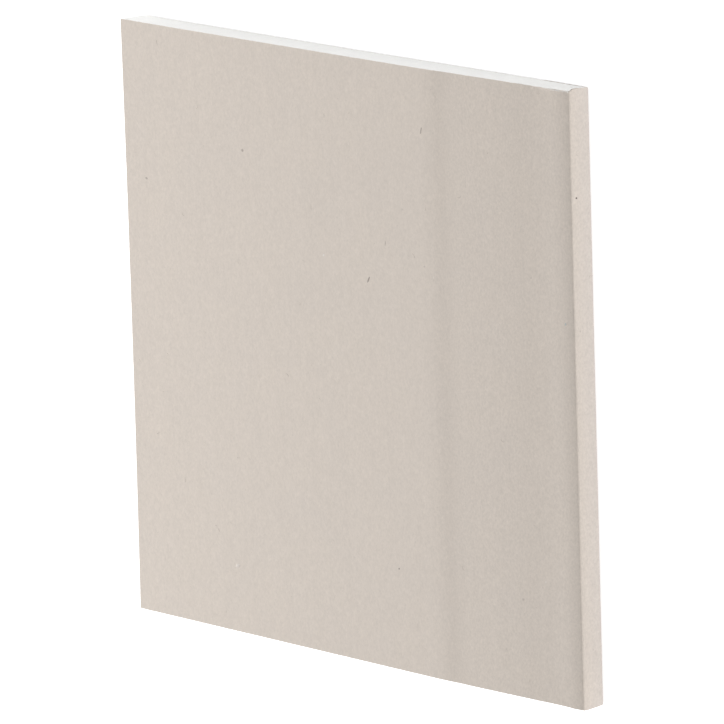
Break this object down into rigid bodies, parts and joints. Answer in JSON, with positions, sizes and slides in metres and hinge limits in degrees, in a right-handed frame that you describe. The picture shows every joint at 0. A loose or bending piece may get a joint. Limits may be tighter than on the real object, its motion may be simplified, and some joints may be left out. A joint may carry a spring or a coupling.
{
  "type": "drywall sheet",
  "caption": "Square-cut piece of thin gypsum wallboard with ivory face paper, one tapered factory edge and grey back paper.",
  "frame": {"origin": "middle of the underside of the bounding box, on the back paper", "axes": "+Z out of the face, +X across the board to the factory edge, +Y along the machine direction"},
  "size_m": [0.188, 0.1726, 0.0095],
  "materials": {
    "gypsum": "cut, matt and finely pitted",
    "ivory_paper": "matt, fine fibres and flecks",
    "grey_paper": "matt, coarse recycled fibres"
  },
  "bodies": {
    "root": {"gypsum_core": "gypsum", "face_paper": "ivory_paper", "back_paper": "grey_paper"}
  },
  "joints": []
}
